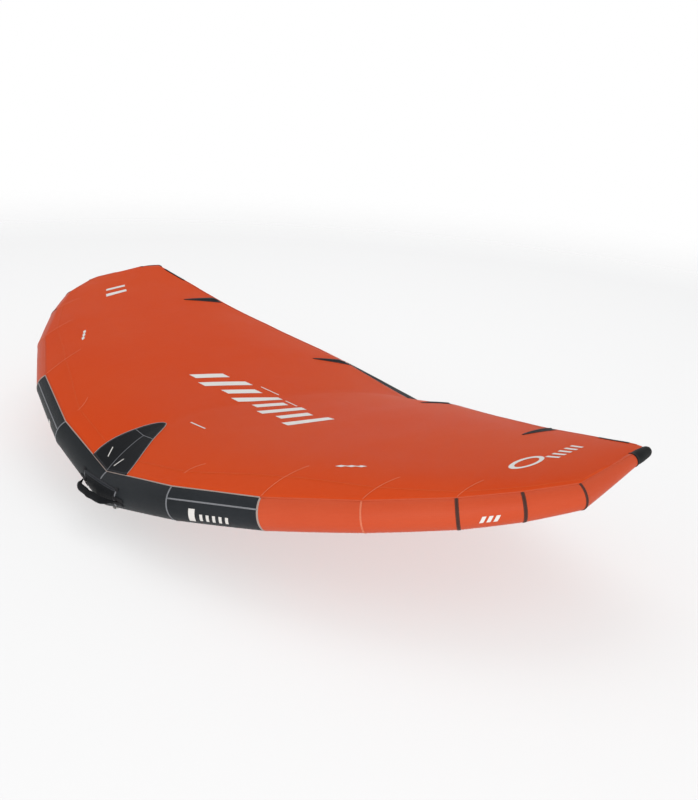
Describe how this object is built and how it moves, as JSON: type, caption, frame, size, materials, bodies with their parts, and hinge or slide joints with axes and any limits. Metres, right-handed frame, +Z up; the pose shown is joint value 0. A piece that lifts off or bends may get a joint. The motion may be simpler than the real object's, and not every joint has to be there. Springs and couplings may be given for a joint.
{
  "type": "wingfoil wing",
  "caption": "Hand-held inflatable wing: a bent leading edge tube, a central strut tube and a cambered fabric canopy with battens, handles and valves.",
  "frame": {"origin": "on the strut's underside midway between the two strut handles, where the rider holds it up", "axes": "+X along the span to the right as seen from the front, +Y back along the strut, +Z up"},
  "size_m": [3.487, 2.0517, 0.6082],
  "materials": {
    "canopy_fabric": "satin",
    "tube_fabric": "satin",
    "black_fabric": "satin",
    "patch_fabric": "matte",
    "black_webbing": "matte",
    "light_webbing": "matte",
    "bladder_film": "satin",
    "batten_plastic": "satin",
    "valve_plastic": "satin"
  },
  "bodies": {
    "wing": {"leading_edge_center_left": "black_fabric", "leading_edge_inner_left": "black_fabric", "leading_edge_middle_left": "tube_fabric", "leading_edge_outer_left": "tube_fabric", "leading_edge_bend_left": "tube_fabric", "leading_edge_sweep_left": "tube_fabric", "leading_edge_tip_left": "tube_fabric", "leading_edge_center_right": "black_fabric", "leading_edge_inner_right": "black_fabric", "leading_edge_middle_right": "tube_fabric", "leading_edge_outer_right": "tube_fabric", "leading_edge_bend_right": "tube_fabric", "leading_edge_sweep_right": "tube_fabric", "leading_edge_tip_right": "tube_fabric", "seam_band_4_left": "black_fabric", "seam_band_5_left": "black_fabric", "seam_band_4_right": "black_fabric", "seam_band_5_right": "black_fabric", "tip_cap_left": "patch_fabric", "canopy_inner_left": "canopy_fabric", "batten_pocket_inner_left": "patch_fabric", "batten_inner_left": "batten_plastic", "canopy_outer_left": "canopy_fabric", "batten_pocket_outer_left": "patch_fabric", "batten_outer_left": "batten_plastic", "trailing_edge_hem_left": "black_fabric", "front_handle_ear_left": "black_webbing", "tip_cap_right": "patch_fabric", "canopy_inner_right": "canopy_fabric", "batten_pocket_inner_right": "patch_fabric", "batten_inner_right": "batten_plastic", "canopy_outer_right": "canopy_fabric", "batten_pocket_outer_right": "patch_fabric", "batten_outer_right": "batten_plastic", "trailing_edge_hem_right": "black_fabric", "front_handle_ear_right": "black_webbing", "strut_front": "black_fabric", "strut_middle": "black_fabric", "strut_rear": "black_fabric", "strut_tail": "black_fabric", "trailing_edge_block": "black_fabric", "strut_web": "canopy_fabric", "canopy_centre_patch": "patch_fabric", "front_handle_pad": "patch_fabric", "strut_handle_front_anchor_front": "black_webbing", "strut_handle_front_anchor_rear": "black_webbing", "strut_handle_rear_anchor_front": "black_webbing", "strut_handle_rear_anchor_rear": "black_webbing", "leash_loop": "light_webbing", "leading_edge_bladder": "bladder_film", "strut_bladder": "bladder_film", "leading_edge_valve_body": "valve_plastic", "strut_valve_body": "valve_plastic"},
    "front_handle": {"front_handle_grip": "black_webbing"},
    "strut_handle_front": {"strut_handle_front_grip": "black_webbing"},
    "strut_handle_rear": {"strut_handle_rear_grip": "black_webbing"},
    "leading_edge_valve_cap": {"leading_edge_valve_cap": "valve_plastic"},
    "leading_edge_valve_flap": {"leading_edge_valve_flap": "valve_plastic"},
    "strut_valve_cap": {"strut_valve_cap": "valve_plastic"},
    "strut_valve_flap": {"strut_valve_flap": "valve_plastic"}
  },
  "joints": [
    {"name": "front_handle_swing", "type": "hinge", "parent": "wing", "child": "front_handle", "pos_m": [0, -0.8701, 0.086], "axis": [1, 0, 0], "range_deg": [-50, 50], "stiffness_Nm_per_rad": 0.6},
    {"name": "strut_handle_front_swing", "type": "hinge", "parent": "wing", "child": "strut_handle_front", "pos_m": [0, -0.325, -0.02377], "axis": [0, 1, 0], "range_deg": [-60, 60]},
    {"name": "strut_handle_rear_swing", "type": "hinge", "parent": "wing", "child": "strut_handle_rear", "pos_m": [0, 0.346, -0.03274], "axis": [0, 1, 0], "range_deg": [-60, 60]},
    {"name": "leading_edge_valve_cap_lift", "type": "hinge", "parent": "wing", "child": "leading_edge_valve_cap", "pos_m": [-0.19469, -0.68757, 0.11319], "axis": [-0.2137, -0.1334, -0.9677], "range_deg": [0, 150]},
    {"name": "leading_edge_valve_flap_open", "type": "hinge", "parent": "wing", "child": "leading_edge_valve_flap", "pos_m": [-0.20253, -0.71458, 0.11865], "axis": [0.2137, 0.1334, 0.9677], "range_deg": [0, 50], "stiffness_Nm_per_rad": 0.001},
    {"name": "strut_valve_cap_lift", "type": "hinge", "parent": "wing", "child": "strut_valve_cap", "pos_m": [-0.07401, -0.61302, 0.06953], "axis": [-0.1564, 0.0259, 0.9874], "range_deg": [0, 150]},
    {"name": "strut_valve_flap_open", "type": "hinge", "parent": "wing", "child": "strut_valve_flap", "pos_m": [-0.04646, -0.6064, 0.07372], "axis": [0.1564, -0.0259, -0.9874], "range_deg": [0, 50], "stiffness_Nm_per_rad": 0.001}
  ]
}
